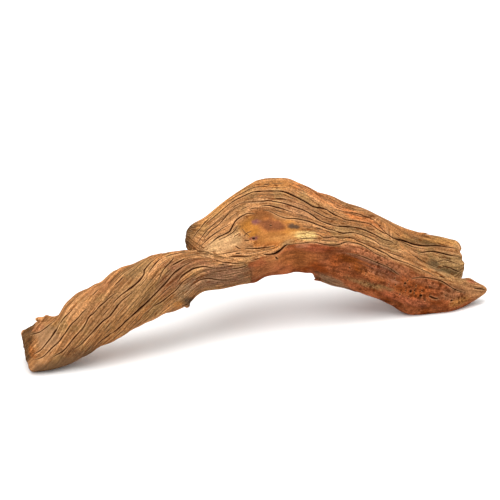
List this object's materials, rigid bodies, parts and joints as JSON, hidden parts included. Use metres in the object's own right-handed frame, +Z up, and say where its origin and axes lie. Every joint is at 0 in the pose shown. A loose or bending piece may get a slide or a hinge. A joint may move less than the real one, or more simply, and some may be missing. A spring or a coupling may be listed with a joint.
{
  "type": "piece of driftwood",
  "caption": "Weathered driftwood log with a long bent arm, a humped middle with a knot, and a forked end, standing like an arch on three worn feet.",
  "frame": {"origin": "the middle of the log's box, at the level of the ground it stands on", "axes": "+X along the log from the long arm to the forked end, +Z up, -Y out of the side that shows the knot"},
  "size_m": [0.5114, 0.2378, 0.1606],
  "materials": {
    "weathered_wood": "bare, sun-dried and cracked along the grain, matt"
  },
  "bodies": {
    "root": {"driftwood": "weathered_wood"}
  },
  "joints": []
}
